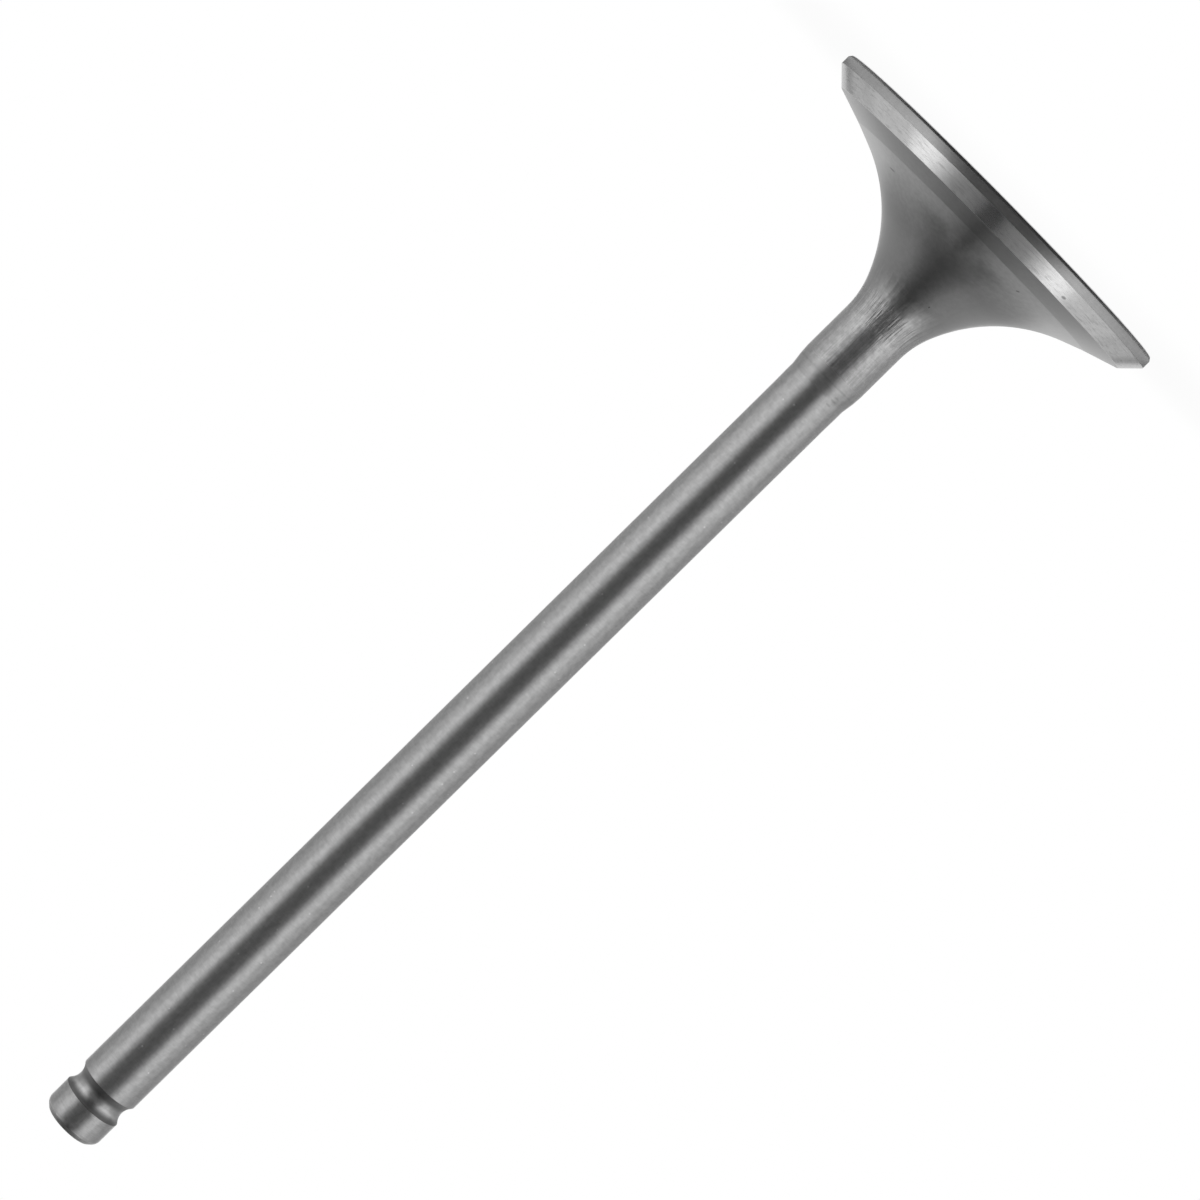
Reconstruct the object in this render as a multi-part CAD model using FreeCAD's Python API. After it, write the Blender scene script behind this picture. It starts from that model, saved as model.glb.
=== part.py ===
import FreeCAD, Part
import math
import os

# Poppet valve for an engine, turned and ground from one forging, in millimetres.
# It stands on its combustion face: the origin is that face's centre and +Z runs up the stem.

# Whole valve
overall_length = 151.75

# Head, from the combustion face up
margin_diameter = 48.54
face_chamfer_width = 0.33
face_chamfer_height = 0.4
margin_height = 1.47
seat_angle = 45.0
seat_width = 2.79
relief_angle = 18.0
relief_width = 4.42

# Underhead, a short cone that two blending sweeps carry up to the neck
underhead_cone_angle = 21.1
underhead_cone_width = 2.67
upper_sweep_radius = 10.7
sweep_change_angle = 21.0

# Neck and stem
neck_diameter = 8.57
neck_length = 6.2
neck_shoulder_length = 1.2
neck_shoulder_depth = 0.08
taper_length = 1.5
collar_length = 1.2
runout_length = 1.6
runout_depth = 0.025
stem_diameter = 7.94

# Keeper groove and tip
groove_width = 2.95
groove_depth = 0.575
groove_edge_radius = 0.12
tip_length = 3.9
tip_grinding_depth = 0.02
tip_chamfer = 0.72
tip_edge_radius = 0.2

# Two rings of the turned form count as the same one when they agree to this
match_tolerance = 0.001


def slanted(start, width, angle_above_flat):
    """End of a straight cone wall that rises inwards from start at an angle above the flat."""
    angle = math.radians(angle_above_flat)
    return start[0] - width * math.cos(angle), start[1] + width * math.sin(angle)


def sweep_point(centre, radius, slope):
    """Point on a hollow sweep where its wall leans from the valve's axis by slope."""
    return centre[0] - radius * math.cos(slope), centre[1] - radius * math.sin(slope)


def sweep(start, radius, first_slope, last_slope):
    """Middle and end of a hollow sweep that leaves start at one slope and ends at another."""
    centre = (start[0] + radius * math.cos(first_slope), start[1] + radius * math.sin(first_slope))
    middle = sweep_point(centre, radius, (first_slope + last_slope) / 2)
    return middle, sweep_point(centre, radius, last_slope)


class HalfSection:
    """Outline of one half of the valve, walked as radius and height from the axis and back to it."""

    def __init__(self):
        self.here = (0.0, 0.0)
        self.edges = []

    def line(self, end):
        self.edges.append(Part.LineSegment(place(self.here), place(end)).toShape())
        self.here = end

    def arc(self, middle, end):
        self.edges.append(Part.Arc(place(self.here), place(middle), place(end)).toShape())
        self.here = end

    def revolved(self):
        axis = FreeCAD.Vector(0, 0, 1)
        return Part.Face(Part.Wire(self.edges)).revolve(FreeCAD.Vector(0, 0, 0), axis, 360)


def place(point):
    """Put a radius and a height on the drawing plane."""
    return FreeCAD.Vector(point[0], 0, point[1])


def draw_head(section):
    """Combustion face, its chamfer, the margin, the seat and the relief cut inside it."""
    margin_radius = margin_diameter / 2
    section.line((margin_radius - face_chamfer_width, 0.0))
    section.line((margin_radius, face_chamfer_height))
    section.line((margin_radius, margin_height))
    section.line(slanted(section.here, seat_width, seat_angle))
    section.line(slanted(section.here, relief_width, relief_angle))


def draw_underhead(section):
    """Cone and two tangent sweeps. The lower sweep takes the radius that fills the room left."""
    neck_radius = neck_diameter / 2
    cone_slope = math.radians(90 - underhead_cone_angle)
    change_slope = math.radians(sweep_change_angle)
    section.line(slanted(section.here, underhead_cone_width, underhead_cone_angle))
    upper_reach = upper_sweep_radius * (1 - math.cos(change_slope))
    lower_reach = section.here[0] - neck_radius - upper_reach
    lower_sweep_radius = lower_reach / (math.cos(change_slope) - math.cos(cone_slope))
    section.arc(*sweep(section.here, lower_sweep_radius, cone_slope, change_slope))
    section.arc(*sweep(section.here, upper_sweep_radius, change_slope, 0.0))


def draw_stem(section):
    """Neck, its shoulder, the ground taper, and the stem that starts where the wheel runs out."""
    neck_radius = neck_diameter / 2
    stem_radius = stem_diameter / 2
    collar_radius = stem_radius + runout_depth
    section.line((neck_radius, section.here[1] + neck_length))
    section.line((neck_radius - neck_shoulder_depth, section.here[1] + neck_shoulder_length))
    section.line((collar_radius, section.here[1] + taper_length))
    section.line((collar_radius, section.here[1] + collar_length))
    section.line((stem_radius, section.here[1] + runout_length))
    section.line((stem_radius, overall_length - tip_length - groove_width))


def draw_tip(section):
    """Round-bottomed keeper groove, the land above it and the chamfered end."""
    stem_radius = stem_diameter / 2
    land_radius = stem_radius - tip_grinding_depth
    groove_top = overall_length - tip_length
    groove_root = (stem_radius - groove_depth, groove_top - groove_width / 2)
    section.arc(groove_root, (land_radius, groove_top))
    section.line((land_radius, overall_length - tip_chamfer))
    section.line((land_radius - tip_chamfer, overall_length))
    section.line((0.0, overall_length))
    section.line((0.0, 0.0))


def rings(solid, radius, height):
    """Edges of the turned form that run round the axis at this radius and height."""
    found = []
    for edge in solid.Edges:
        if not isinstance(edge.Curve, Part.Circle):
            continue
        same_radius = abs(edge.Curve.Radius - radius) < match_tolerance
        same_height = abs(edge.Curve.Center.z - height) < match_tolerance
        if same_radius and same_height:
            found.append(edge)
    return found


def eased_edges(solid):
    """Break the sharp edges of the groove and of the tip's chamfer."""
    stem_radius = stem_diameter / 2
    land_radius = stem_radius - tip_grinding_depth
    groove_top = overall_length - tip_length
    groove_edges = rings(solid, land_radius, groove_top)
    groove_edges += rings(solid, stem_radius, groove_top - groove_width)
    solid = solid.makeFillet(groove_edge_radius, groove_edges)
    tip_edges = rings(solid, land_radius, overall_length - tip_chamfer)
    tip_edges += rings(solid, land_radius - tip_chamfer, overall_length)
    return solid.makeFillet(tip_edge_radius, tip_edges)


def make_valve():
    section = HalfSection()
    draw_head(section)
    draw_underhead(section)
    draw_stem(section)
    draw_tip(section)
    return eased_edges(section.revolved())


os.makedirs("parts", exist_ok=True)
make_valve().exportStep("parts/valve.step")
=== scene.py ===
import math

import bmesh
import bpy
from mathutils import Matrix, Vector

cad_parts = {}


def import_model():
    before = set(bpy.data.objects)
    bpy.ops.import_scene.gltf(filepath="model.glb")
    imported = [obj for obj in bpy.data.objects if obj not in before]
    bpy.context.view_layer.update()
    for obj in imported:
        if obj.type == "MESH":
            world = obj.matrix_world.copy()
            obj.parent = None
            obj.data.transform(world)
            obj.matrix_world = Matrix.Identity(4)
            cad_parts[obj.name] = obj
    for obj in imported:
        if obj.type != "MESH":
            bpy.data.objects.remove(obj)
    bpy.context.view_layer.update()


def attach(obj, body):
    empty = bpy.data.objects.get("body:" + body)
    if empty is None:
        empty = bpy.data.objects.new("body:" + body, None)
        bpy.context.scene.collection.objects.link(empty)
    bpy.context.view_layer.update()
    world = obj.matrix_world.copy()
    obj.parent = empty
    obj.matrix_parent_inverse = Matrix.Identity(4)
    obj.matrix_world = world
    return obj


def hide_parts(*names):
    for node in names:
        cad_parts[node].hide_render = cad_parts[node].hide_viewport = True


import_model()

# Metres throughout. The origin is the centre of the combustion face, on which the valve stands,
# and +Z runs up the stem to the tip.

# Head
MARGIN_RADIUS = 0.02427
CHAMFER_WIDTH = 0.00033
CHAMFER_HEIGHT = 0.0004
MARGIN_TOP = 0.00147
SEAT_WIDTH = 0.00279
SEAT_ANGLE = math.radians(45)
RELIEF_WIDTH = 0.00442
RELIEF_ANGLE = math.radians(18)

# Underhead
CONE_WIDTH = 0.00267
CONE_ANGLE = math.radians(21.1)
UPPER_SWEEP_RADIUS = 0.0107
SWEEP_CHANGE_ANGLE = math.radians(21)

# Neck and stem
NECK_RADIUS = 0.004285
NECK_LENGTH = 0.0062
SHOULDER_LENGTH = 0.0012
SHOULDER_DEPTH = 0.00008
TAPER_LENGTH = 0.0015
COLLAR_LENGTH = 0.0012
RUNOUT_LENGTH = 0.0016
RUNOUT_DEPTH = 0.000025
STEM_RADIUS = 0.00397

# Keeper groove and tip
VALVE_LENGTH = 0.15175
TIP_LENGTH = 0.0039
TIP_GRINDING_DEPTH = 0.00002
GROOVE_WIDTH = 0.00295
GROOVE_DEPTH = 0.000575
TIP_CHAMFER = 0.00072

# Rounded edges. For the head it is how far before the corner the rounding starts, and for the groove
# and the tip it is the radius, and by how much the outline turns there.
HEAD_EDGE_BREAK = 0.00004
GROOVE_EDGE_RADIUS = 0.00012
GROOVE_EDGE_TURN = math.radians(42)
TIP_SHOULDER_RADIUS = 0.001
TIP_EDGE_RADIUS = 0.0002
TIP_EDGE_TURN = math.radians(45)

# Mesh
STEPS_AROUND = 320
SWEEP_STEPS = 30
GROOVE_STEPS = 24
EDGE_STEPS = 4
TIP_SHOULDER_STEPS = 12
MERGE_DISTANCE = 0.000001
CREASE_ANGLE = math.radians(5)

# Heights up to which the finishes go. What lies closer to the top than the end face's margin takes
# the end face's finish.
END_FACE_MARGIN = 0.00001
FACE_TOP = 0
SEAT_TOP = MARGIN_TOP + SEAT_WIDTH * math.sin(SEAT_ANGLE)
RELIEF_TOP = SEAT_TOP + RELIEF_WIDTH * math.sin(RELIEF_ANGLE)
NECK_TOP = 0.02643
GROOVE_TOP = VALVE_LENGTH - TIP_LENGTH
GROOVE_BOTTOM = GROOVE_TOP - GROOVE_WIDTH
LAND_TOP = VALVE_LENGTH - TIP_CHAMFER
TIP_CHAMFER_TOP = VALVE_LENGTH - END_FACE_MARGIN

# Marks in the steel, each as its angle round the valve in degrees from the front, its height, half
# its length round the valve and half its width. A mark that is metres long runs all the way round.
SEAT_NICKS = [(-31.0, 0.00285, 0.0004, 0.0002)]
UNDERHEAD_PITS = [
    (-30.3, 0.00573, 0.00022, 0.00014),
    (50.2, 0.00606, 0.0008, 0.00008),
    (-22.4, 0.0138, 0.0001, 0.00013),
]
UNDERHEAD_SPECKS = [(0.8, 0.00558, 0.0002, 0.0001)]
SHOULDER_LINE = [(0, NECK_TOP + SHOULDER_LENGTH - 0.0001, 1, 0.00015)]
STEM_NICKS = [
    (-34.5, 0.0296, 0.0005, 0.00014),
    (-36.3, 0.0289, 0.0006, 0.00016),
    (-36.9, 0.0284, 0.0005, 0.00014),
]
STEM_SPECKS = [(6.5, 0.0323, 0.00016, 0.00016)]

# How strongly each kind of mark shows, and its shade from 0 for black to 1 for white
SEAT_NICK_STRENGTH = 0.6
PIT_STRENGTH = 0.7
UNDERHEAD_SPECK_STRENGTH = 0.2
SHOULDER_LINE_STRENGTH = 0.13
STEM_NICK_STRENGTH = 0.24
NICK_SHADE = 0.1
PIT_SHADE = 0.02
UNDERHEAD_SPECK_SHADE = 0.8
STEM_SPECK_SHADE = 0.75

# Part of a noise pattern's range that is spread over its shades, and share of a mark's area that is
# solid before its edge softens
NOISE_LOW = 0.3
NOISE_HIGH = 0.7
SOLID_SHARE_OF_MARK = 0.2

# Underhead: shades and roughness, and between which heights each passes into the next. The lift
# at the sweep's top is painted lightening, and the lighter shade at the neck's foot is a painted
# highlight. An edge shade is a painted shade of steel seen at a grazing angle.
CONE_SHADE = 0.6
SWEEP_SHADE = 0.1
CONE_TO_SWEEP = (0.0048, 0.0097)
SWEEP_TOP_PAINTED_LIFT = 0.045
SWEEP_TO_SWEEP_TOP = (0.0112, 0.0138)
NECK_FOOT_HIGHLIGHT_SHADE = 0.55
NECK_SHADE = 0.5
NECK_FOOT_TO_NECK = (0.0197, 0.0222)
CONE_EDGE_SHADE = 0.18
SWEEP_EDGE_SHADE = 0.66
CONE_EDGE_TO_SWEEP_EDGE = (0.0055, 0.0125)
CONE_ROUGHNESS = 0.28
SWEEP_ROUGHNESS = 0.42
CONE_GLOSS_TO_SWEEP_GLOSS = (0.0055, 0.009)
NECK_ROUGHNESS = 0.27

# Underhead: where the ground neck begins, how ragged that limit is, and the scratches there
FORGED_TO_GROUND = (0.0138, 0.0176)
RAGGED_LIMIT = {"Streaks Around": 12, "Low": 0, "High": 0.03}
RAGGED_REACH = 0.003
DEEP_SCRATCHES = {"Low": 0.0172, "High": 0.0195, "Fade": 0.0012}
FAINT_SCRATCHES = {"Low": 0.0175, "High": 0.026, "Breaks Per Metre": 120}
FAINT_SCRATCH_STRENGTH = 0.4
SCRATCH_CONTRAST = 1.5
SCRATCH_DEPTH = 0.00007

# Seat, stem and groove
SEAT_CUTS = {"Breaks Around": 14, "Lines Per Metre": 4200, "High": 0.5, "Darkest": 0.65, "Lightest": 0.85}
STEM_SHADE = 0.5
SPECKLE = {"Cells Per Metre": 830, "Radius": 0.11, "Share": 0.5}
SPECK_HEIGHT = 0.00001
# Groove: a painted highlight just above its middle fades to painted shade on both walls
GROOVE_PAINTED_HIGHLIGHT_HEIGHT = (GROOVE_BOTTOM + GROOVE_TOP) / 2 + 0.0002
GROOVE_BOTTOM_SHADE = 0.5
GROOVE_WALL_PAINTED_SHADE = 0.1
GROOVE_EDGE_SHADE = 0.45
GROOVE_EDGE_SHARE = 0.65
GROOVE_PAINTED_SHADE_FROM_HIGHLIGHT = (0.0001, 0.001)
GROOVE_BOTTOM_ROUGHNESS = 0.3
GROOVE_WALL_ROUGHNESS = 0.5
GROOVE_ROUGHNESS_FROM_HIGHLIGHT = (0.0003, 0.0012)

# Camera, from the photograph: how far it stands from the point it looks at, where that point is,
# how steeply it looks up, and how far the picture is turned about the line of sight
CAMERA_DISTANCE = 0.4613
CAMERA_AIM = Vector((0.00014, 0, 0.06399))
CAMERA_RISE = math.radians(5.72)
CAMERA_TURN = math.radians(134.55)
CAMERA_NEAR = 0.01
CAMERA_FAR = 30
LENS_MM = 120.42
SENSOR_MM = 36

# Strength of the lights
WORLD_GREY = 0.42
KEY_LIGHT = 0.42
FILL_LIGHT = 0.15
TOP_LIGHT = 0.5
TOP_FILL_LIGHT = 0.12
BACK_LIGHT = 0.2

# Floor: its radius, how much of it is plain white at the valve's rim, and from where it is all white
FLOOR_RADIUS = 30
FLOOR_WHITE_AT_RIM = 0.95
FLOOR_ALL_WHITE = 0.1

# Card over the floor. Frontness is 1 straight in front of the valve, 0 at its side and -1 behind it.
FLOOR_CARD_RADIUS = 0.9
FLOOR_CARD_HEIGHT = 0.0001
FLOOR_CARD_FRONT = (0.84, 0.95)
FLOOR_CARD_BEHIND = (-0.35, 0)
FLOOR_CARD_RIM_WIDTH = 0.002
FLOOR_CARD_SIDE_SHADE = 0.58
FLOOR_CARD_FRONT_SHADE = 0.22
FLOOR_CARD_SIDE_TO_FRONT = (0.5, 0.95)

# Shades of the paper and the cards
PAPER_SHADE = 0.9
FRONT_CARD_SHADE = 0.385
OVERHEAD_GREY_SHADE = 0.45
OVERHEAD_DARK_SHADE = 0.05


# The valve's mesh


class HalfSection:
    """Open outline in the XZ plane, drawn from the middle of the combustion face to the tip."""

    def __init__(self, mesh):
        self.mesh = mesh
        self.along = mesh.verts.layers.float.new("along")
        self.start = bmesh.ops.create_vert(mesh, co=(0, 0, 0))["vert"][0]
        self.end = self.start

    def line(self, radius, height):
        self.end = bmesh.ops.extrude_vert_indiv(self.mesh, verts=[self.end])["verts"][0]
        self.end.co = (radius, 0, height)
        return self.end

    def step(self, outward, upward):
        return self.line(self.end.co.x + outward, self.end.co.z + upward)

    def cone_step(self, width, angle_above_flat):
        return self.step(-width * math.cos(angle_above_flat), width * math.sin(angle_above_flat))

    def hollow(self, radius, first_slope, last_slope, steps):
        """Hollow arc from one lean of the wall to another, both measured from the valve's axis."""
        here = self.end.co
        centre = here + radius * Vector((math.cos(first_slope), 0, math.sin(first_slope)))
        spun = bmesh.ops.spin(
            self.mesh, geom=[self.end], cent=centre, axis=(0, 1, 0), angle=first_slope - last_slope,
            steps=steps,
        )
        self.end = spun["geom_last"][0]
        return self.end


def setback(radius, turn):
    """How far before a corner its rounding starts, where the outline turns by this angle."""
    return radius * math.tan(turn / 2)


def ease(mesh, corners, offset, steps=EDGE_STEPS):
    """Round the outline at these corners, starting this far from each."""
    bmesh.ops.bevel(
        mesh, geom=corners, offset=offset, offset_type="OFFSET", segments=steps, profile=0.5,
        affect="VERTICES", material=-1,
    )


def draw_head(section):
    chamfer_start = section.line(MARGIN_RADIUS - CHAMFER_WIDTH, 0)
    chamfer_end = section.step(CHAMFER_WIDTH, CHAMFER_HEIGHT)
    margin_end = section.line(MARGIN_RADIUS, MARGIN_TOP)
    seat_end = section.cone_step(SEAT_WIDTH, SEAT_ANGLE)
    section.cone_step(RELIEF_WIDTH, RELIEF_ANGLE)
    return [chamfer_start, chamfer_end, margin_end, seat_end]


def draw_underhead(section):
    """Cone and two tangent sweeps. The lower sweep takes the radius that fills the room left."""
    section.cone_step(CONE_WIDTH, CONE_ANGLE)
    cone_slope = math.radians(90) - CONE_ANGLE
    upper_reach = UPPER_SWEEP_RADIUS * (1 - math.cos(SWEEP_CHANGE_ANGLE))
    lower_reach = section.end.co.x - NECK_RADIUS - upper_reach
    lower_sweep_radius = lower_reach / (math.cos(SWEEP_CHANGE_ANGLE) - math.cos(cone_slope))
    section.hollow(lower_sweep_radius, cone_slope, SWEEP_CHANGE_ANGLE, SWEEP_STEPS)
    section.hollow(UPPER_SWEEP_RADIUS, SWEEP_CHANGE_ANGLE, 0, SWEEP_STEPS)


def draw_stem(section):
    section.step(0, NECK_LENGTH)
    section.step(-SHOULDER_DEPTH, SHOULDER_LENGTH)
    section.line(STEM_RADIUS + RUNOUT_DEPTH, section.end.co.z + TAPER_LENGTH)
    section.step(0, COLLAR_LENGTH)
    section.step(-RUNOUT_DEPTH, RUNOUT_LENGTH)


def draw_groove(section):
    half_width = GROOVE_WIDTH / 2
    radius = (half_width ** 2 + GROOVE_DEPTH ** 2) / (2 * GROOVE_DEPTH)
    lower_lean = math.asin(half_width / radius)
    upper_lean = math.acos((radius - GROOVE_DEPTH + TIP_GRINDING_DEPTH) / radius)
    lower_edge = section.line(STEM_RADIUS, GROOVE_BOTTOM)
    upper_edge = section.hollow(radius, lower_lean, -upper_lean, GROOVE_STEPS)
    return [lower_edge, upper_edge]


def draw_tip(section):
    land_radius = section.end.co.x
    shoulder = section.line(land_radius, LAND_TOP)
    end_edge = section.step(-TIP_CHAMFER, TIP_CHAMFER)
    section.line(0, VALVE_LENGTH)
    return shoulder, end_edge


def measure_outline(section):
    """Store at each point how far along the outline it lies, for patterns that follow the surface."""
    here = section.start
    edge = here.link_edges[0]
    while edge is not None:
        beyond = edge.other_vert(here)
        beyond[section.along] = here[section.along] + edge.calc_length()
        onward = [other for other in beyond.link_edges if other is not edge]
        here = beyond
        edge = onward[0] if onward else None


def draw_valve(mesh):
    section = HalfSection(mesh)
    head_edges = draw_head(section)
    draw_underhead(section)
    draw_stem(section)
    groove_edges = draw_groove(section)
    tip_shoulder, tip_edge = draw_tip(section)
    ease(mesh, head_edges, HEAD_EDGE_BREAK)
    ease(mesh, groove_edges, setback(GROOVE_EDGE_RADIUS, GROOVE_EDGE_TURN))
    ease(mesh, [tip_shoulder], setback(TIP_SHOULDER_RADIUS, TIP_EDGE_TURN), TIP_SHOULDER_STEPS)
    ease(mesh, [tip_edge], setback(TIP_EDGE_RADIUS, TIP_EDGE_TURN))
    measure_outline(section)


def turned_mesh():
    mesh = bmesh.new()
    draw_valve(mesh)
    outline = mesh.verts[:] + mesh.edges[:]
    bmesh.ops.spin(
        mesh, geom=outline, cent=(0, 0, 0), axis=(0, 0, 1), angle=2 * math.pi, steps=STEPS_AROUND,
        use_merge=True,
    )
    bmesh.ops.remove_doubles(mesh, verts=mesh.verts, dist=MERGE_DISTANCE)
    bmesh.ops.recalc_face_normals(mesh, faces=mesh.faces)
    for face in mesh.faces:
        face.smooth = True
    for edge in mesh.edges:
        edge.smooth = edge.calc_face_angle(0) < CREASE_ANGLE
    return mesh


# Shader nodes and the effects that the materials share


class Nodes:
    """Short calls for adding and joining shader nodes in one tree."""

    def __init__(self, tree):
        self.tree = tree

    def add(self, kind, inputs=None, **settings):
        node = self.tree.nodes.new(kind)
        for name, value in settings.items():
            setattr(node, name, value)
        for name, value in (inputs or {}).items():
            self.feed(node.inputs[name], value)
        return node

    def feed(self, socket, value):
        if isinstance(value, bpy.types.NodeSocket):
            self.tree.links.new(value, socket)
        else:
            socket.default_value = value

    def math(self, operation, first, second=0.0, clamp=False):
        node = self.add("ShaderNodeMath", {0: first, 1: second}, operation=operation, use_clamp=clamp)
        return node.outputs[0]

    def vector_math(self, operation, inputs):
        return self.add("ShaderNodeVectorMath", inputs, operation=operation).outputs["Vector"]

    def length(self, vector):
        return self.add("ShaderNodeVectorMath", {0: vector}, operation="LENGTH").outputs["Value"]

    def eased(self, value, low, high, low_out=0.0, high_out=1.0):
        """Value that goes smoothly from low_out to high_out as the input goes from low to high."""
        ends = {"Value": value, "From Min": low, "From Max": high, "To Min": low_out, "To Max": high_out}
        return self.add("ShaderNodeMapRange", ends, interpolation_type="SMOOTHSTEP").outputs["Result"]

    def noise(self, vector, scale, detail, roughness):
        ends = {"Vector": vector, "Scale": scale, "Detail": detail, "Roughness": roughness}
        return self.add("ShaderNodeTexNoise", ends).outputs["Fac"]

    def object_place(self):
        return self.add("ShaderNodeTexCoord").outputs["Object"]

    def parts(self, vector):
        return self.add("ShaderNodeSeparateXYZ", {"Vector": vector}).outputs

    def height(self):
        return self.parts(self.object_place())["Z"]

    def grey(self, value):
        return self.add("ShaderNodeCombineColor", {"Red": value, "Green": value, "Blue": value}).outputs[0]

    def mix(self, share, first, second):
        return self.add("ShaderNodeMix", {"Factor": share, "A": first, "B": second}).outputs["Result"]

    def effect(self, tree, inputs):
        node = self.add("ShaderNodeGroup", node_tree=tree)
        for name, value in inputs.items():
            self.feed(node.inputs[name], value)
        return node.outputs[0]

    def show(self, shader):
        self.add("ShaderNodeOutputMaterial", {"Surface": shader})


def new_material(name):
    material = bpy.data.materials.new(name)
    material.use_nodes = True
    nodes = Nodes(material.node_tree)
    nodes.tree.nodes.clear()
    return material, nodes


def around_and_along(nodes, around_scale, along_scale):
    """Coordinates that follow the turned surface: a circle of around_scale, and the outline's length."""
    flat = nodes.vector_math("MULTIPLY", {0: nodes.object_place(), 1: (1, 1, 0)})
    circle = nodes.vector_math("NORMALIZE", {0: flat})
    around = nodes.parts(nodes.vector_math("SCALE", {0: circle, "Scale": around_scale}))
    along = nodes.add("ShaderNodeAttribute", attribute_name="along").outputs["Fac"]
    ends = {"X": around["X"], "Y": around["Y"], "Z": nodes.math("MULTIPLY", along, along_scale)}
    return nodes.add("ShaderNodeCombineXYZ", ends).outputs[0]


def effect_group(name, inputs, output):
    """Empty shader group with named value inputs, their defaults, and one value output."""
    tree = bpy.data.node_groups.new(name, "ShaderNodeTree")
    for input_name, default in inputs.items():
        socket = tree.interface.new_socket(input_name, in_out="INPUT", socket_type="NodeSocketFloat")
        socket.default_value = default
    tree.interface.new_socket(output, in_out="OUTPUT", socket_type="NodeSocketFloat")
    nodes = Nodes(tree)
    return tree, nodes, nodes.add("NodeGroupInput").outputs, nodes.add("NodeGroupOutput").inputs[output]


def lay_lines_group():
    """Shade of the fine marks left by the tool, running round the valve."""
    inputs = {
        "Breaks Around": 3, "Lines Per Metre": 9000, "Low": NOISE_LOW, "High": NOISE_HIGH, "Darkest": 0.92,
        "Lightest": 1.08,
    }
    tree, nodes, given, result = effect_group("lay lines", inputs, "Shade")
    place = around_and_along(nodes, given["Breaks Around"], given["Lines Per Metre"])
    lines = nodes.noise(place, scale=1, detail=3, roughness=0.7)
    shade = nodes.eased(lines, given["Low"], given["High"], given["Darkest"], given["Lightest"])
    nodes.feed(result, shade)
    return tree


def mottle_group():
    """Shade of soft cloudy patches."""
    inputs = {"Patches Per Metre": 1500, "Darkest": 0.92, "Lightest": 1.08}
    tree, nodes, given, result = effect_group("mottle", inputs, "Shade")
    clouds = nodes.noise(nodes.object_place(), given["Patches Per Metre"], detail=3, roughness=0.6)
    nodes.feed(result, nodes.eased(clouds, NOISE_LOW, NOISE_HIGH, given["Darkest"], given["Lightest"]))
    return tree


def specks_group():
    """Small round spots, scattered over the surface."""
    inputs = {"Cells Per Metre": 400, "Radius": 0.1, "Share": 0.2}
    tree, nodes, given, result = effect_group("specks", inputs, "Specks")
    ends = {"Vector": nodes.object_place(), "Scale": given["Cells Per Metre"]}
    cells = nodes.add("ShaderNodeTexVoronoi", ends).outputs
    from_middle = nodes.math("DIVIDE", cells["Distance"], given["Radius"])
    spot = nodes.eased(from_middle, low=0.5, high=1, low_out=1, high_out=0)
    pick = nodes.add("ShaderNodeSeparateColor", {"Color": cells["Color"]}).outputs["Red"]
    nodes.feed(result, nodes.math("MULTIPLY", spot, nodes.math("LESS_THAN", pick, given["Share"])))
    return tree


def streaks_group():
    """Scratches that run along the stem between two heights and fade at both ends, as plus or minus."""
    inputs = {"Streaks Around": 20, "Breaks Per Metre": 250, "Low": 0.016, "High": 0.024, "Fade": 0.002}
    tree, nodes, given, result = effect_group("streaks", inputs, "Streaks")
    place = around_and_along(nodes, given["Streaks Around"], given["Breaks Per Metre"])
    height = nodes.height()
    rise = nodes.eased(height, nodes.math("SUBTRACT", given["Low"], given["Fade"]), given["Low"])
    fall = nodes.eased(height, given["High"], nodes.math("ADD", given["High"], given["Fade"]), 1, 0)
    window = nodes.math("MULTIPLY", rise, fall)
    noise = nodes.noise(place, scale=1, detail=2, roughness=0.6)
    streaks = nodes.math("SUBTRACT", noise, 0.5)
    nodes.feed(result, nodes.math("MULTIPLY", streaks, window))
    return tree


def mark_group():
    """One soft oval mark at an angle round the valve and a height up it."""
    inputs = {"Angle": 0, "Height": 0.03, "Half Length": 0.0005, "Half Width": 0.0001}
    tree, nodes, given, result = effect_group("mark", inputs, "Mark")
    place = nodes.object_place()
    parts = nodes.parts(place)
    radius = nodes.length(nodes.vector_math("MULTIPLY", {0: place, 1: (1, 1, 0)}))
    around = nodes.math("ARCTAN2", parts["X"], nodes.math("MULTIPLY", parts["Y"], -1))
    turn = nodes.math("SUBTRACT", around, given["Angle"])
    sideways = nodes.math("DIVIDE", nodes.math("MULTIPLY", turn, radius), given["Half Length"])
    above = nodes.math("SUBTRACT", parts["Z"], given["Height"])
    upwards = nodes.math("DIVIDE", above, given["Half Width"])
    away = nodes.math("ADD", nodes.math("POWER", sideways, 2), nodes.math("POWER", upwards, 2))
    nodes.feed(result, nodes.eased(away, SOLID_SHARE_OF_MARK, 1, 1, 0))
    return tree


LAY_LINES = lay_lines_group()
MOTTLE = mottle_group()
SPECKS = specks_group()
STREAKS = streaks_group()
MARK = mark_group()


# The valve's materials


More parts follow.
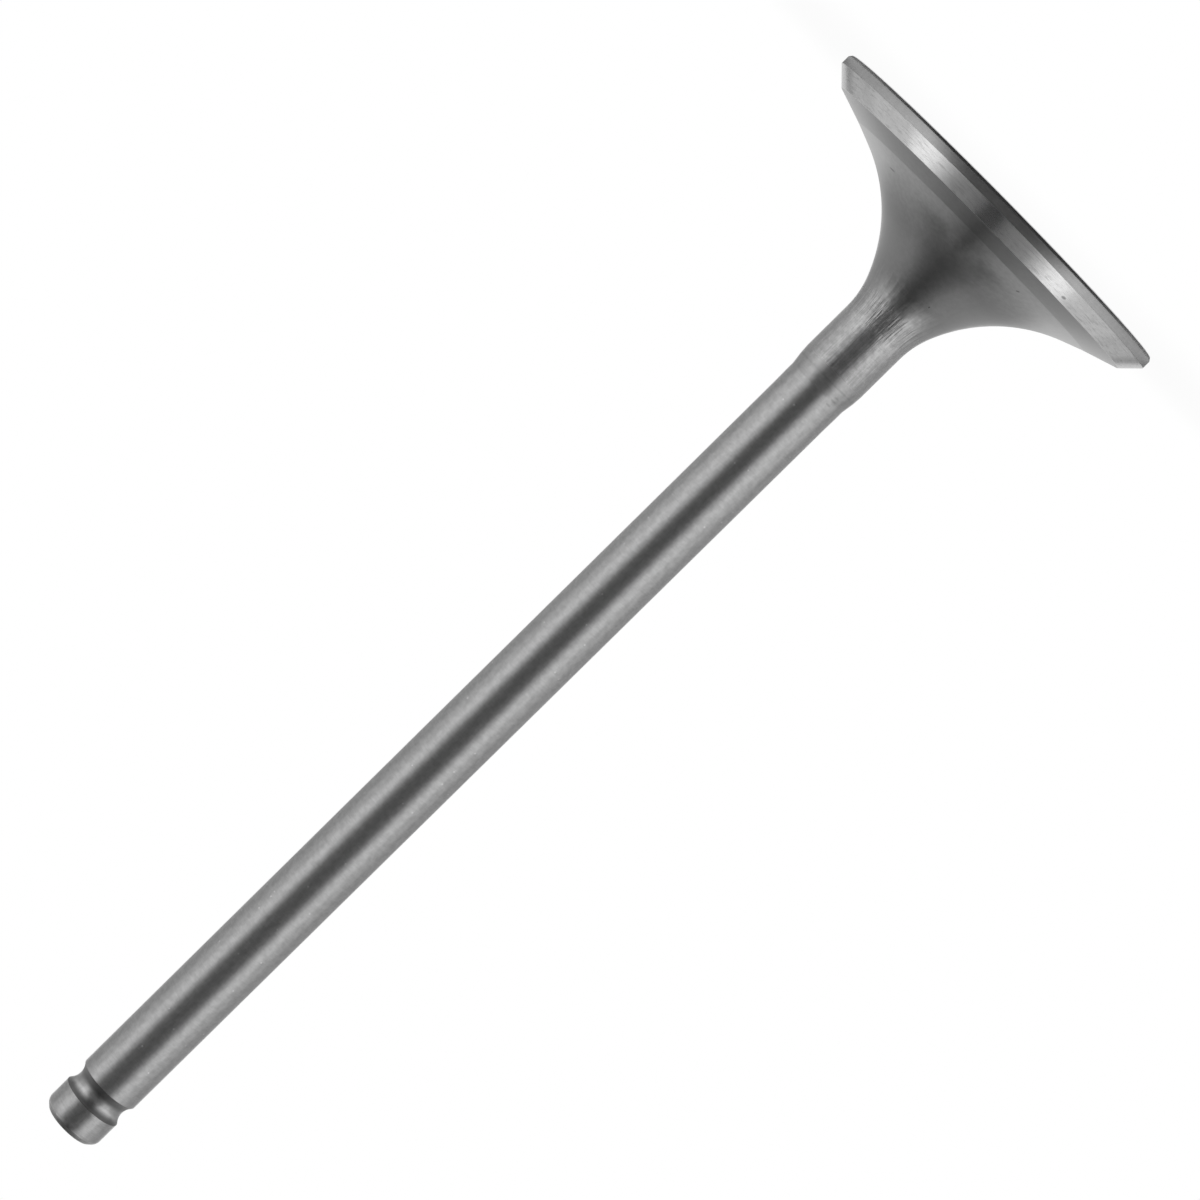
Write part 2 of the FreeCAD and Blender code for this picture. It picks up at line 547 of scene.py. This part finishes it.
def steel_surface(nodes, shade, edge_shade, roughness, across, relief=None, depth=0, rim_tint=1):
    """Steel that reflects more sharply round the valve than along it, as much as across says.

    Its colour goes from shade, seen straight on, to edge_shade, seen at a grazing angle. This change
    with the viewing angle is painted: it brightens or dims the steel at a grazing angle in place of
    what the steel reflects there. Relief is its fine bumps, and depth their height. A rim tint below
    one dims what the steel reflects at a grazing angle.
    """
    # Painted shade at a grazing angle: the colour follows the viewing angle
    facing = nodes.add("ShaderNodeLayerWeight", {"Blend": 0.5}).outputs["Facing"]
    surface = nodes.add("ShaderNodeBsdfPrincipled", {
        "Base Color": nodes.grey(nodes.mix(facing, shade, edge_shade)),
        "Metallic": 1.0,
        "Roughness": roughness,
        "Anisotropic": across,
        "Anisotropic Rotation": 0.25,
        "Tangent": nodes.add("ShaderNodeTangent", direction_type="RADIAL", axis="Z").outputs[0],
        "Specular Tint": (rim_tint, rim_tint, rim_tint, 1),
    })
    if relief is not None:
        bump = nodes.add("ShaderNodeBump", {"Height": relief, "Distance": depth})
        nodes.feed(surface.inputs["Normal"], bump.outputs[0])
    nodes.show(surface.outputs[0])


def grain(nodes, lines=0.06, mottle=0.08):
    """Factor near one that shades the steel with its tool marks and cloudy patches."""
    line_shade = nodes.effect(LAY_LINES, {"Darkest": 1 - lines, "Lightest": 1 + lines})
    patch_shade = nodes.effect(MOTTLE, {"Darkest": 1 - mottle, "Lightest": 1 + mottle})
    return nodes.math("MULTIPLY", line_shade, patch_shade)


def marks_mask(nodes, marks, strength=1):
    """As much as strength says where any of these marks is, and zero elsewhere."""
    mask = 0.0
    for angle, height, half_length, half_width in marks:
        ends = {"Height": height, "Half Length": half_length, "Half Width": half_width}
        mark = nodes.effect(MARK, {"Angle": math.radians(angle), **ends})
        mask = nodes.math("MAXIMUM", mark, mask)
    return nodes.math("MULTIPLY", mask, strength)


def ground_steel(name, shade, edge_shade, roughness, across, lines=0.08, mottle=0.08):
    material, nodes = new_material(name)
    marks = grain(nodes, lines, mottle)
    shaded = nodes.math("MULTIPLY", marks, shade)
    edge_shaded = nodes.math("MULTIPLY", marks, edge_shade)
    steel_surface(nodes, shaded, edge_shaded, roughness, across)
    return material


def seat_steel():
    """Finely ground seat with short dark marks that run round it."""
    material, nodes = new_material("seat")
    ground = nodes.effect(LAY_LINES, SEAT_CUTS)
    nicks = marks_mask(nodes, SEAT_NICKS, SEAT_NICK_STRENGTH)
    nicked = nodes.mix(nicks, ground, NICK_SHADE)
    shade = nodes.math("MULTIPLY", nicked, grain(nodes, lines=0.05, mottle=0.04))
    steel_surface(nodes, shade, shade, roughness=0.21, across=0.5, rim_tint=0.6)
    return material


def underhead_steel():
    """Dark forged sweep, lighter at the cone, that turns into the scratched and ground neck."""
    material, nodes = new_material("underhead")
    height = nodes.height()
    ragged = nodes.effect(STREAKS, RAGGED_LIMIT)
    limit = nodes.math("ADD", height, nodes.math("MULTIPLY", ragged, RAGGED_REACH))
    ground = nodes.eased(limit, *FORGED_TO_GROUND)

    deep = nodes.effect(STREAKS, DEEP_SCRATCHES)
    faint = nodes.math("MULTIPLY", nodes.effect(STREAKS, FAINT_SCRATCHES), FAINT_SCRATCH_STRENGTH)
    scratches = nodes.math("ADD", deep, faint)
    scratch_shade = nodes.math("ADD", 1, nodes.math("MULTIPLY", scratches, SCRATCH_CONTRAST))
    marks = nodes.math("MULTIPLY", grain(nodes, mottle=0.14), scratch_shade)
    pits = marks_mask(nodes, UNDERHEAD_PITS, PIT_STRENGTH)
    specks = marks_mask(nodes, UNDERHEAD_SPECKS, UNDERHEAD_SPECK_STRENGTH)

    sweep_shade = nodes.eased(height, *CONE_TO_SWEEP, CONE_SHADE, SWEEP_SHADE)
    # Painted lightening at the sweep's top
    painted_lift = nodes.eased(height, *SWEEP_TO_SWEEP_TOP, 0, SWEEP_TOP_PAINTED_LIFT)
    forged_and_painted_shade = nodes.math("ADD", sweep_shade, painted_lift)
    # Painted highlight: the ground neck is lighter at its foot
    ground_shade_and_highlight = nodes.eased(height, *NECK_FOOT_TO_NECK, NECK_FOOT_HIGHLIGHT_SHADE, NECK_SHADE)
    marked_shade = nodes.math("MULTIPLY", marks, nodes.mix(ground, forged_and_painted_shade, ground_shade_and_highlight))
    pitted_shade = nodes.mix(pits, marked_shade, PIT_SHADE)
    shade = nodes.mix(specks, pitted_shade, UNDERHEAD_SPECK_SHADE)

    forged_edge_shade = nodes.eased(height, *CONE_EDGE_TO_SWEEP_EDGE, CONE_EDGE_SHADE, SWEEP_EDGE_SHADE)
    edge_shade = nodes.mix(pits, nodes.mix(ground, forged_edge_shade, NECK_SHADE), PIT_SHADE)
    forged_roughness = nodes.eased(height, *CONE_GLOSS_TO_SWEEP_GLOSS, CONE_ROUGHNESS, SWEEP_ROUGHNESS)
    roughness = nodes.mix(ground, forged_roughness, NECK_ROUGHNESS)
    steel_surface(nodes, shade, edge_shade, roughness, across=0.3, relief=scratches, depth=SCRATCH_DEPTH)
    return material


def stem_steel():
    """Ground stem, cloudy, with a few specks and, at its foot, a line and short nicks."""
    material, nodes = new_material("stem")
    line = marks_mask(nodes, SHOULDER_LINE, SHOULDER_LINE_STRENGTH)
    nicks = marks_mask(nodes, STEM_NICKS, STEM_NICK_STRENGTH)
    dark = nodes.math("MAXIMUM", line, nicks)
    shade = nodes.math("MULTIPLY", grain(nodes), nodes.mix(dark, STEM_SHADE, NICK_SHADE))
    specks = nodes.math("MAXIMUM", nodes.effect(SPECKS, SPECKLE), marks_mask(nodes, STEM_SPECKS))
    spotted = nodes.mix(specks, shade, STEM_SPECK_SHADE)
    steel_surface(nodes, spotted, spotted, roughness=0.31, across=0.5, relief=specks, depth=SPECK_HEIGHT)
    return material


def groove_steel():
    """Groove ground at its bottom, with a painted highlight there and painted shade on both walls."""
    material, nodes = new_material("groove")
    # Painted highlight band, fading to painted shade on the walls
    above_painted_highlight = nodes.math("SUBTRACT", nodes.height(), GROOVE_PAINTED_HIGHLIGHT_HEIGHT)
    from_painted_highlight = nodes.math("ABSOLUTE", above_painted_highlight)
    shade = nodes.eased(from_painted_highlight, *GROOVE_PAINTED_SHADE_FROM_HIGHLIGHT, GROOVE_BOTTOM_SHADE, GROOVE_WALL_PAINTED_SHADE)
    shaded = nodes.math("MULTIPLY", shade, grain(nodes))
    edge_shade = nodes.mix(GROOVE_EDGE_SHARE, shaded, GROOVE_EDGE_SHADE)
    roughness = nodes.eased(
        from_painted_highlight, *GROOVE_ROUGHNESS_FROM_HIGHLIGHT, GROOVE_BOTTOM_ROUGHNESS, GROOVE_WALL_ROUGHNESS,
    )
    steel_surface(nodes, shaded, edge_shade, roughness, across=0)
    return material


def valve_finishes():
    """Each finish with the height up to which it goes, from the combustion face to the tip."""
    # Each edge_shade is a painted shade for the steel seen at a grazing angle
    face = ground_steel("turned_face", shade=0.5, edge_shade=0.5, roughness=0.4, across=0.7, lines=0.2)
    chamfer = ground_steel("chamfer", shade=0.48, edge_shade=0.9, roughness=0.4, across=0.5)
    margin = ground_steel(
        "margin", shade=0.5, edge_shade=0.28, roughness=0.33, across=0.6, lines=0.05, mottle=0.04,
    )
    relief = ground_steel(
        "relief", shade=0.33, edge_shade=0.19, roughness=0.33, across=0.5, lines=0.04, mottle=0.04,
    )
    land = ground_steel("land", shade=0.5, edge_shade=0.5, roughness=0.3, across=0.5)
    tip_chamfer = ground_steel("tip_chamfer", shade=0.25, edge_shade=0.5, roughness=0.45, across=0)
    tip_face = ground_steel("tip_face", shade=0.5, edge_shade=0.5, roughness=0.4, across=0.8, lines=0.2)
    return [
        (FACE_TOP, face),
        (CHAMFER_HEIGHT, chamfer),
        (MARGIN_TOP, margin),
        (SEAT_TOP, seat_steel()),
        (RELIEF_TOP, relief),
        (NECK_TOP, underhead_steel()),
        (GROOVE_BOTTOM, stem_steel()),
        (GROOVE_TOP, groove_steel()),
        (LAND_TOP, land),
        (TIP_CHAMFER_TOP, tip_chamfer),
        (VALVE_LENGTH, tip_face),
    ]


def new_piece(name, mesh, materials):
    data = bpy.data.meshes.new(name)
    mesh.to_mesh(data)
    mesh.free()
    for material in materials:
        data.materials.append(material)
    piece = bpy.data.objects.new(name, data)
    bpy.context.scene.collection.objects.link(piece)
    return piece


def valve_piece():
    finishes = valve_finishes()
    mesh = turned_mesh()
    for face in mesh.faces:
        height = face.calc_center_median().z
        for index, (top, material) in enumerate(finishes):
            if height <= top + MERGE_DISTANCE:
                face.material_index = index
                break
    piece = new_piece("turned_valve", mesh, [material for top, material in finishes])
    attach(piece, "root")
    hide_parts("valve")


# Floor, backdrop, light and camera


def stage_piece(name, mesh, material):
    piece = new_piece(name, mesh, [material])
    return piece


def matt_surface(nodes, shade):
    """Matt paper or card with faint cloudy patches."""
    patches = nodes.effect(MOTTLE, {"Patches Per Metre": 400, "Darkest": 0.98, "Lightest": 1.02})
    return nodes.add("ShaderNodeBsdfPrincipled", {
        "Base Color": nodes.grey(nodes.math("MULTIPLY", patches, shade)),
        "Roughness": 0.9,
        "Specular IOR Level": 0,
    })


def seen_directly(nodes):
    """One for rays that show the background as such, and zero for those that light the object."""
    path = nodes.add("ShaderNodeLightPath").outputs
    straight = nodes.math("ADD", path["Is Camera Ray"], path["Is Glossy Ray"], clamp=True)
    return nodes.math("ADD", straight, path["Is Transmission Ray"], clamp=True)


def paper_surface(nodes, white):
    """Pale paper of which the share given by white shows as plain white."""
    paper = matt_surface(nodes, PAPER_SHADE)
    glow = nodes.add("ShaderNodeEmission", {"Strength": 1.0})
    share = nodes.math("MULTIPLY", white, seen_directly(nodes))
    mix = nodes.add("ShaderNodeMixShader", {0: share, 1: paper.outputs[0], 2: glow.outputs[0]})
    nodes.show(mix.outputs[0])


def backdrop_paper():
    material, nodes = new_material("backdrop_paper")
    paper_surface(nodes, 1.0)
    return material


def floor_paper():
    """Paper that keeps the valve's shadow near it and turns to plain white farther out."""
    material, nodes = new_material("floor_paper")
    away = nodes.length(nodes.object_place())
    paper_surface(nodes, nodes.eased(away, MARGIN_RADIUS, FLOOR_ALL_WHITE, FLOOR_WHITE_AT_RIM, 1))
    return material


def card_paper(name, shade):
    material, nodes = new_material(name)
    nodes.show(matt_surface(nodes, shade).outputs[0])
    return material


def floor_card_paper():
    """Grey paper in front of the valve, behind it and close to its rim, with nothing at the sides."""
    material, nodes = new_material("floor_mirror_card")
    place = nodes.object_place()
    away = nodes.length(place)
    forward = nodes.math("MULTIPLY", nodes.parts(place)["Y"], -1)
    frontness = nodes.math("DIVIDE", forward, away)
    front = nodes.eased(frontness, *FLOOR_CARD_FRONT)
    behind = nodes.eased(frontness, *FLOOR_CARD_BEHIND, 1, 0)
    rim = nodes.eased(away, MARGIN_RADIUS, MARGIN_RADIUS + FLOOR_CARD_RIM_WIDTH, 1, 0)
    cover = nodes.math("MAXIMUM", nodes.math("MAXIMUM", front, behind), rim)
    shade = nodes.eased(
        frontness, *FLOOR_CARD_SIDE_TO_FRONT, FLOOR_CARD_SIDE_SHADE, FLOOR_CARD_FRONT_SHADE,
    )
    surface = matt_surface(nodes, shade)
    nodes.feed(surface.inputs["Alpha"], cover)
    nodes.show(surface.outputs[0])
    return material


def floor():
    mesh = bmesh.new()
    bmesh.ops.create_circle(mesh, cap_ends=True, segments=128, radius=FLOOR_RADIUS)
    stage_piece("floor", mesh, floor_paper())


def floor_mirror_card():
    """Grey card just above the floor that only reflections see."""
    mesh = bmesh.new()
    bmesh.ops.create_circle(mesh, cap_ends=True, segments=64, radius=FLOOR_CARD_RADIUS)
    bmesh.ops.translate(mesh, vec=(0, 0, FLOOR_CARD_HEIGHT), verts=mesh.verts)
    piece = stage_piece("floor_mirror_card", mesh, floor_card_paper())
    piece.visible_camera = False
    piece.visible_diffuse = False
    piece.visible_shadow = False


def facing(place, towards=None):
    """Transform of something at place whose +Z looks at a point, or else straight down."""
    place = Vector(place)
    target = Vector(towards) if towards else Vector((place.x, place.y, 0))
    turn = (target - place).to_track_quat("Z", "Y")
    return Matrix.Translation(place) @ turn.to_matrix().to_4x4()


def card(name, material, size, place, towards=None, seen=False):
    """Card of this width and height that faces a point, or else straight down.

    A card that only shades or reflects isn't seen by the camera.
    """
    mesh = bmesh.new()
    bmesh.ops.create_grid(mesh, x_segments=1, y_segments=1, size=0.5)
    bmesh.ops.scale(mesh, vec=(*size, 1), verts=mesh.verts)
    bmesh.ops.transform(mesh, matrix=facing(place, towards), verts=mesh.verts)
    piece = stage_piece(name, mesh, material)
    piece.visible_camera = seen


def softbox(name, radiance, size, place, towards=None):
    """Rectangular light of this width and height that faces a point, or else straight down."""
    width, height = size
    data = bpy.data.lights.new(name, "AREA")
    data.shape = "RECTANGLE"
    data.size = width
    data.size_y = height
    data.energy = radiance * math.pi * width * height
    light = bpy.data.objects.new(name, data)
    bpy.context.scene.collection.objects.link(light)
    light.matrix_world = facing(place, towards) @ Matrix.Rotation(math.pi, 4, "X")
    light.visible_camera = False


def lights():
    stem = (0, 0, 0.1)
    for side in (-1, 1):
        softbox("key_light", KEY_LIGHT, (0.32, 0.5), place=(side * 0.51, -0.32, 0.26), towards=stem)
        softbox("fill_light", FILL_LIGHT, (0.26, 0.5), place=(side * 0.6, -0.04, 0.26), towards=stem)
        softbox("top_light", TOP_LIGHT, (0.11, 0.4), place=(side * 0.3, 0.02, 0.62))
        softbox("top_fill_light", TOP_FILL_LIGHT, (0.5, 0.95), place=(side * 0.46, 0.18, 0.63))
    softbox("back_light", BACK_LIGHT, (1.2, 0.5), place=(0, 0.85, 0.62), towards=(0, 0, 0))


def cards():
    backdrop = backdrop_paper()
    dim = card_paper("dim_card", FRONT_CARD_SHADE)
    grey = card_paper("grey_card", OVERHEAD_GREY_SHADE)
    dark = card_paper("dark_card", OVERHEAD_DARK_SHADE)
    card("backdrop", backdrop, (0.8, 0.62), place=(0, 1.2, 0.3), towards=(0, 0, 0.3), seen=True)
    card("front_card", dim, (1.1, 1.2), place=(0, -0.9, 0.6), towards=(0, 0, 0.6))
    card("overhead_grey", grey, (0.38, 1.45), place=(0, -0.18, 0.64))
    card("overhead_dark", dark, (0.08, 1.8), place=(0, 0, 0.62))


def world():
    shader = bpy.data.worlds.new("plain_grey")
    shader.use_nodes = True
    background = shader.node_tree.nodes["Background"]
    background.inputs["Color"].default_value = (WORLD_GREY, WORLD_GREY, WORLD_GREY, 1)
    background.inputs["Strength"].default_value = 1
    bpy.context.scene.world = shader


def main_camera():
    data = bpy.data.cameras.new("camera")
    data.lens = LENS_MM
    data.sensor_width = SENSOR_MM
    data.clip_start = CAMERA_NEAR
    data.clip_end = CAMERA_FAR
    camera = bpy.data.objects.new("camera", data)
    bpy.context.scene.collection.objects.link(camera)
    forward = Vector((0, math.cos(CAMERA_RISE), math.sin(CAMERA_RISE)))
    level = Vector((1, 0, 0))
    upright = level.cross(forward)
    across = level * math.cos(CAMERA_TURN) - upright * math.sin(CAMERA_TURN)
    upwards = level * math.sin(CAMERA_TURN) + upright * math.cos(CAMERA_TURN)
    turned = Matrix((across, upwards, -forward)).transposed().to_4x4()
    camera.matrix_world = Matrix.Translation(CAMERA_AIM - forward * CAMERA_DISTANCE) @ turned
    bpy.context.scene.camera = camera


valve_piece()
floor()
floor_mirror_card()
cards()
lights()
world()
main_camera()

bpy.context.scene.view_settings.view_transform = "Standard"
